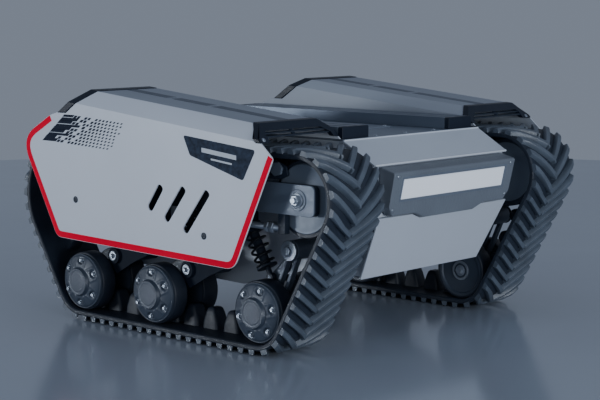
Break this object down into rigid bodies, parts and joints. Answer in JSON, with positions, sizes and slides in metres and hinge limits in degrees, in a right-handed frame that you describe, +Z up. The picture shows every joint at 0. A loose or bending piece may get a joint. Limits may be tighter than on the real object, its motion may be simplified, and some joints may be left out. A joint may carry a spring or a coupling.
{
  "type": "tracked robot chassis",
  "caption": "Tracked rover chassis: closed hull with front lamp between rubber crawler tracks under folded side covers, with sprung road wheels and screw tensioners.",
  "frame": {"origin": "on the ground, midway along the tracks and midway between them", "axes": "+X forward towards the lamp, +Y to the machine's left, +Z up"},
  "size_m": [0.9379, 0.911, 0.5135],
  "materials": {
    "cover_paint": "satin white powder coat",
    "plate_paint": "satin light grey powder coat",
    "dark_paint": "matte dark grey",
    "black_plastic": "fine grained black",
    "grey_plastic": "dark grey moulded",
    "disc_paint": "satin grey",
    "rubber": "matte black",
    "steel": "zinc plated",
    "spring_steel": "black coated spring steel",
    "lens": "milky white diffuser",
    "cells": "blue shrink wrap",
    "red_plastic": "glossy red"
  },
  "bodies": {
    "root": {"hull_tub": "plate_paint", "deck_plate": "plate_paint", "front_upper_plate": "plate_paint", "front_lower_plate": "plate_paint", "rear_plate": "plate_paint", "lamp_housing": "black_plastic", "lamp_lens": "lens", "battery_pack": "cells", "side_cover_left": "cover_paint", "fender_cap_front_left": "black_plastic", "fender_cap_rear_left": "black_plastic", "deck_rail_left": "grey_plastic", "track_left": "rubber", "track_frame_left": "dark_paint", "drive_motor_left": "steel", "side_cover_right": "cover_paint", "fender_cap_front_right": "black_plastic", "fender_cap_rear_right": "black_plastic", "deck_rail_right": "grey_plastic", "track_right": "rubber", "track_frame_right": "dark_paint", "drive_motor_right": "steel"},
    "button": {"power_button": "red_plastic"},
    "sprocket_left": {"sprocket_left": "steel"},
    "tensioner_left": {"idler_bracket_left": "plate_paint"},
    "idler_left": {"idler_wheel_left": "disc_paint"},
    "arm_1_left": {"swing_arm_1_left": "dark_paint"},
    "wheel_1_left": {"road_wheel_1_left": "rubber", "hub_cap_1_left": "grey_plastic"},
    "shock_1_left": {"damper_1_left": "dark_paint", "spring_1_left": "spring_steel"},
    "arm_2_left": {"swing_arm_2_left": "dark_paint"},
    "wheel_2_left": {"road_wheel_2_left": "rubber", "hub_cap_2_left": "grey_plastic"},
    "shock_2_left": {"damper_2_left": "dark_paint", "spring_2_left": "spring_steel"},
    "arm_3_left": {"swing_arm_3_left": "dark_paint"},
    "wheel_3_left": {"road_wheel_3_left": "rubber", "hub_cap_3_left": "grey_plastic"},
    "shock_3_left": {"damper_3_left": "dark_paint", "spring_3_left": "spring_steel"},
    "sprocket_right": {"sprocket_right": "steel"},
    "tensioner_right": {"idler_bracket_right": "plate_paint"},
    "idler_right": {"idler_wheel_right": "disc_paint"},
    "arm_1_right": {"swing_arm_1_right": "dark_paint"},
    "wheel_1_right": {"road_wheel_1_right": "rubber", "hub_cap_1_right": "grey_plastic"},
    "shock_1_right": {"damper_1_right": "dark_paint", "spring_1_right": "spring_steel"},
    "arm_2_right": {"swing_arm_2_right": "dark_paint"},
    "wheel_2_right": {"road_wheel_2_right": "rubber", "hub_cap_2_right": "grey_plastic"},
    "shock_2_right": {"damper_2_right": "dark_paint", "spring_2_right": "spring_steel"},
    "arm_3_right": {"swing_arm_3_right": "dark_paint"},
    "wheel_3_right": {"road_wheel_3_right": "rubber", "hub_cap_3_right": "grey_plastic"},
    "shock_3_right": {"damper_3_right": "dark_paint", "spring_3_right": "spring_steel"}
  },
  "joints": [
    {"name": "power_press", "type": "slide", "parent": "root", "child": "button", "axis": [1, 0, 0], "range_m": [0, 0.004], "stiffness_N_per_m": 800, "springref_m": -0.002},
    {"name": "sprocket_spin_left", "type": "hinge", "parent": "root", "child": "sprocket_left", "pos_m": [-0.319, 0.327, 0.269], "axis": [0, 1, 0], "continuous": true},
    {"name": "tension_slide_left", "type": "slide", "parent": "root", "child": "tensioner_left", "axis": [1, 0, 0], "range_m": [-0.012, 0]},
    {"name": "idler_spin_left", "type": "hinge", "parent": "tensioner_left", "child": "idler_left", "pos_m": [0.369, 0.336, 0.322], "axis": [0, 1, 0], "continuous": true},
    {"name": "arm_swing_1_left", "type": "hinge", "parent": "root", "child": "arm_1_left", "pos_m": [-0.215, 0.336, 0.146], "axis": [0, 1, 0], "range_deg": [0, 10], "stiffness_Nm_per_rad": 80, "springref_deg": -5.73},
    {"name": "wheel_spin_1_left", "type": "hinge", "parent": "arm_1_left", "child": "wheel_1_left", "pos_m": [-0.278, 0.336, 0.087], "axis": [0, 1, 0], "continuous": true},
    {"name": "shock_tilt_1_left", "type": "hinge", "parent": "arm_1_left", "child": "shock_1_left", "pos_m": [-0.245, 0.3455, 0.17], "axis": [0, 1, 0], "range_deg": [-12, 0]},
    {"name": "arm_swing_2_left", "type": "hinge", "parent": "root", "child": "arm_2_left", "pos_m": [0.017, 0.336, 0.142], "axis": [0, 1, 0], "range_deg": [0, 10], "stiffness_Nm_per_rad": 80, "springref_deg": -5.73},
    {"name": "wheel_spin_2_left", "type": "hinge", "parent": "arm_2_left", "child": "wheel_2_left", "pos_m": [-0.049, 0.336, 0.087], "axis": [0, 1, 0], "continuous": true},
    {"name": "shock_tilt_2_left", "type": "hinge", "parent": "arm_2_left", "child": "shock_2_left", "pos_m": [-0.013, 0.3455, 0.166], "axis": [0, 1, 0], "range_deg": [-12, 0]},
    {"name": "arm_swing_3_left", "type": "hinge", "parent": "root", "child": "arm_3_left", "pos_m": [0.31, 0.336, 0.213], "axis": [0, 1, 0], "range_deg": [0, 10], "stiffness_Nm_per_rad": 80, "springref_deg": -5.73},
    {"name": "wheel_spin_3_left", "type": "hinge", "parent": "arm_3_left", "child": "wheel_3_left", "pos_m": [0.256, 0.336, 0.087], "axis": [0, 1, 0], "continuous": true},
    {"name": "shock_tilt_3_left", "type": "hinge", "parent": "arm_3_left", "child": "shock_3_left", "pos_m": [0.243, 0.3455, 0.15], "axis": [0, 1, 0], "range_deg": [-12, 0]},
    {"name": "sprocket_spin_right", "type": "hinge", "parent": "root", "child": "sprocket_right", "pos_m": [-0.319, -0.327, 0.269], "axis": [0, 1, 0], "continuous": true},
    {"name": "tension_slide_right", "type": "slide", "parent": "root", "child": "tensioner_right", "axis": [1, 0, 0], "range_m": [-0.012, 0]},
    {"name": "idler_spin_right", "type": "hinge", "parent": "tensioner_right", "child": "idler_right", "pos_m": [0.369, -0.336, 0.322], "axis": [0, 1, 0], "continuous": true},
    {"name": "arm_swing_1_right", "type": "hinge", "parent": "root", "child": "arm_1_right", "pos_m": [-0.215, -0.336, 0.146], "axis": [0, 1, 0], "range_deg": [0, 10], "stiffness_Nm_per_rad": 80, "springref_deg": -5.73},
    {"name": "wheel_spin_1_right", "type": "hinge", "parent": "arm_1_right", "child": "wheel_1_right", "pos_m": [-0.278, -0.336, 0.087], "axis": [0, 1, 0], "continuous": true},
    {"name": "shock_tilt_1_right", "type": "hinge", "parent": "arm_1_right", "child": "shock_1_right", "pos_m": [-0.245, -0.3455, 0.17], "axis": [0, 1, 0], "range_deg": [-12, 0]},
    {"name": "arm_swing_2_right", "type": "hinge", "parent": "root", "child": "arm_2_right", "pos_m": [0.017, -0.336, 0.142], "axis": [0, 1, 0], "range_deg": [0, 10], "stiffness_Nm_per_rad": 80, "springref_deg": -5.73},
    {"name": "wheel_spin_2_right", "type": "hinge", "parent": "arm_2_right", "child": "wheel_2_right", "pos_m": [-0.049, -0.336, 0.087], "axis": [0, 1, 0], "continuous": true},
    {"name": "shock_tilt_2_right", "type": "hinge", "parent": "arm_2_right", "child": "shock_2_right", "pos_m": [-0.013, -0.3455, 0.166], "axis": [0, 1, 0], "range_deg": [-12, 0]},
    {"name": "arm_swing_3_right", "type": "hinge", "parent": "root", "child": "arm_3_right", "pos_m": [0.31, -0.336, 0.213], "axis": [0, 1, 0], "range_deg": [0, 10], "stiffness_Nm_per_rad": 80, "springref_deg": -5.73},
    {"name": "wheel_spin_3_right", "type": "hinge", "parent": "arm_3_right", "child": "wheel_3_right", "pos_m": [0.256, -0.336, 0.087], "axis": [0, 1, 0], "continuous": true},
    {"name": "shock_tilt_3_right", "type": "hinge", "parent": "arm_3_right", "child": "shock_3_right", "pos_m": [0.243, -0.3455, 0.15], "axis": [0, 1, 0], "range_deg": [-12, 0]}
  ],
  "couplings": [
    {"joint": "idler_spin_left", "follows": "sprocket_spin_left", "ratio": 1.641},
    {"joint": "wheel_spin_1_left", "follows": "sprocket_spin_left", "ratio": 1.9692},
    {"joint": "shock_tilt_1_left", "follows": "arm_swing_1_left", "ratio": -1.1556},
    {"joint": "wheel_spin_2_left", "follows": "sprocket_spin_left", "ratio": 1.9692},
    {"joint": "shock_tilt_2_left", "follows": "arm_swing_2_left", "ratio": -1.1556},
    {"joint": "wheel_spin_3_left", "follows": "sprocket_spin_left", "ratio": 1.9692},
    {"joint": "shock_tilt_3_left", "follows": "arm_swing_3_left", "ratio": -0.8853},
    {"joint": "idler_spin_right", "follows": "sprocket_spin_right", "ratio": 1.641},
    {"joint": "wheel_spin_1_right", "follows": "sprocket_spin_right", "ratio": 1.9692},
    {"joint": "shock_tilt_1_right", "follows": "arm_swing_1_right", "ratio": -1.1556},
    {"joint": "wheel_spin_2_right", "follows": "sprocket_spin_right", "ratio": 1.9692},
    {"joint": "shock_tilt_2_right", "follows": "arm_swing_2_right", "ratio": -1.1556},
    {"joint": "wheel_spin_3_right", "follows": "sprocket_spin_right", "ratio": 1.9692},
    {"joint": "shock_tilt_3_right", "follows": "arm_swing_3_right", "ratio": -0.8853}
  ]
}
